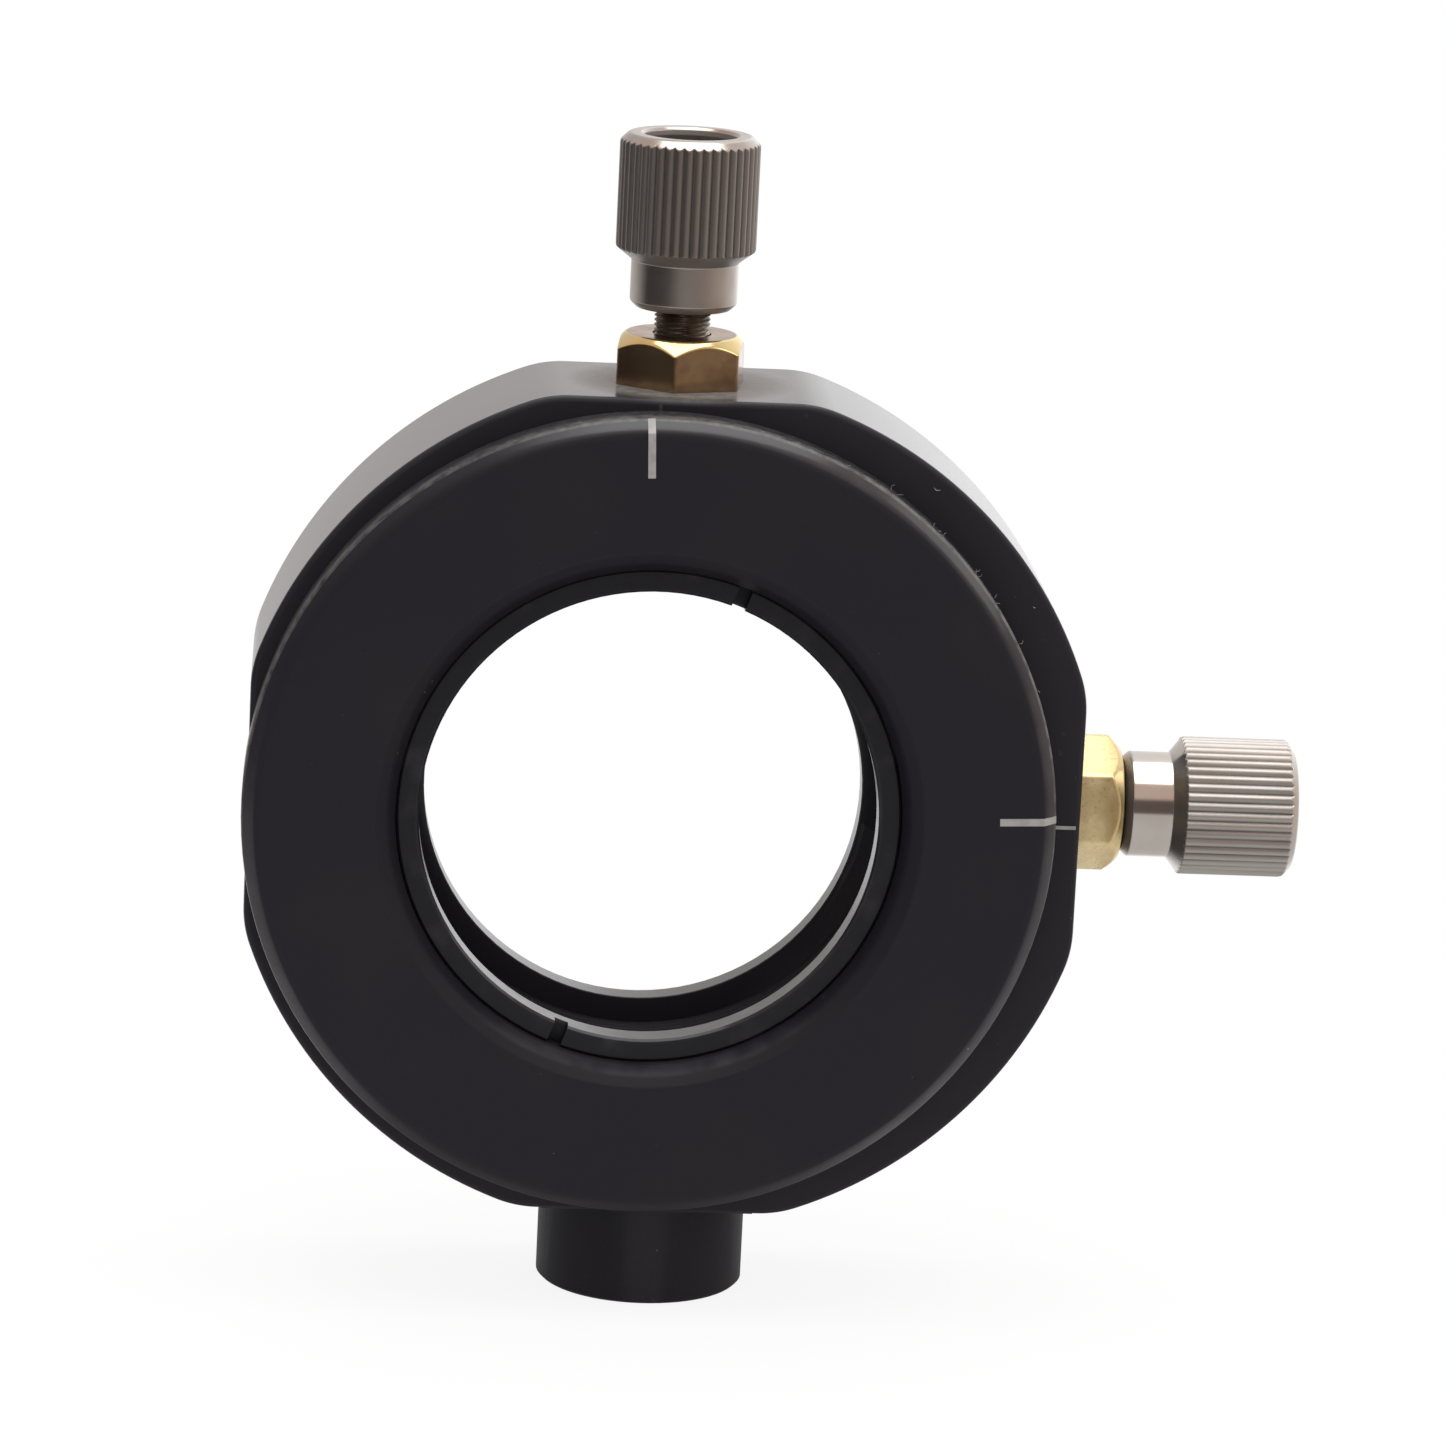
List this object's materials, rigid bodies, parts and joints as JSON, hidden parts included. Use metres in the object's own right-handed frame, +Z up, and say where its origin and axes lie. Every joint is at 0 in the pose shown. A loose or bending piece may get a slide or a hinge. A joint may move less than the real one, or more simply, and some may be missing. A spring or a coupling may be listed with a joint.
{
  "type": "two-axis translating lens mount",
  "caption": "Round lens holder with a threaded bore, moved up, down and sideways by knurled fine screws, on a short post boss.",
  "frame": {"origin": "mouth of the post thread, in the middle of the foot of the boss", "axes": "+Z up along the post and the top adjuster, Y along the optical axis with the front facing -Y, +X towards the right adjuster"},
  "size_m": [0.0556, 0.0142, 0.0617],
  "materials": {
    "black_anodised": "black anodised, fine bead-blasted",
    "black_ring": "black anodised, turned",
    "slide_plastic": "plain low-friction plastic",
    "bushing_brass": "machined, lightly tarnished",
    "screw_steel": "machined",
    "knob_steel": "straight knurled, polished ends",
    "hard_steel": "hardened and polished",
    "spring_steel": "drawn wire"
  },
  "bodies": {
    "housing": {"housing": "black_anodised", "front_slide_washer": "slide_plastic", "rear_slide_washer": "slide_plastic", "top_bushing": "bushing_brass", "right_bushing": "bushing_brass", "lower_spring": "spring_steel", "left_spring": "spring_steel"},
    "top_ball": {"top_ball": "hard_steel"},
    "top_adjuster": {"top_screw": "screw_steel", "top_knob": "knob_steel"},
    "right_ball": {"right_ball": "hard_steel"},
    "right_adjuster": {"right_screw": "screw_steel", "right_knob": "knob_steel"},
    "lower_plunger": {"lower_plunger": "screw_steel"},
    "left_plunger": {"left_plunger": "screw_steel"},
    "cell": {"lens_cell": "black_anodised", "retaining_ring": "black_ring", "keeper_ring": "black_ring", "top_wear_pad": "hard_steel", "right_wear_pad": "hard_steel"}
  },
  "joints": [
    {"name": "top_ball_slide", "type": "slide", "parent": "housing", "child": "top_ball", "axis": [0, 0, 1], "range_m": [-0.00112, 0.00088]},
    {"name": "top_knob_turn", "type": "hinge", "parent": "top_ball", "child": "top_adjuster", "pos_m": [0, 0, 0.0519], "axis": [0, 0, 1], "range_deg": [-1612.85, 1267.25]},
    {"name": "right_ball_slide", "type": "slide", "parent": "housing", "child": "right_ball", "axis": [1, 0, 0], "range_m": [-0.00008, 0.00192]},
    {"name": "right_knob_turn", "type": "hinge", "parent": "right_ball", "child": "right_adjuster", "pos_m": [0.025, 0, 0.0269], "axis": [1, 0, 0], "range_deg": [-115.25, 2764.85]},
    {"name": "lower_plunger_slide", "type": "slide", "parent": "housing", "child": "lower_plunger", "axis": [0, 0, 1], "range_m": [-0.00112, 0.00088], "deforming": ["lower_spring"]},
    {"name": "cell_shift", "type": "slide", "parent": "lower_plunger", "child": "cell", "axis": [1, 0, 0], "range_m": [-0.00008, 0.00192]},
    {"name": "left_plunger_slide", "type": "slide", "parent": "housing", "child": "left_plunger", "axis": [1, 0, 0], "range_m": [-0.00008, 0.00192], "deforming": ["left_spring"]}
  ],
  "couplings": [
    {"joint": "top_knob_turn", "follows": "top_ball_slide", "rad_per_m": 25133},
    {"joint": "lower_plunger_slide", "follows": "top_ball_slide", "ratio": 1},
    {"joint": "right_knob_turn", "follows": "right_ball_slide", "rad_per_m": 25133},
    {"joint": "cell_shift", "follows": "right_ball_slide", "ratio": 1},
    {"joint": "left_plunger_slide", "follows": "right_ball_slide", "ratio": 1}
  ]
}
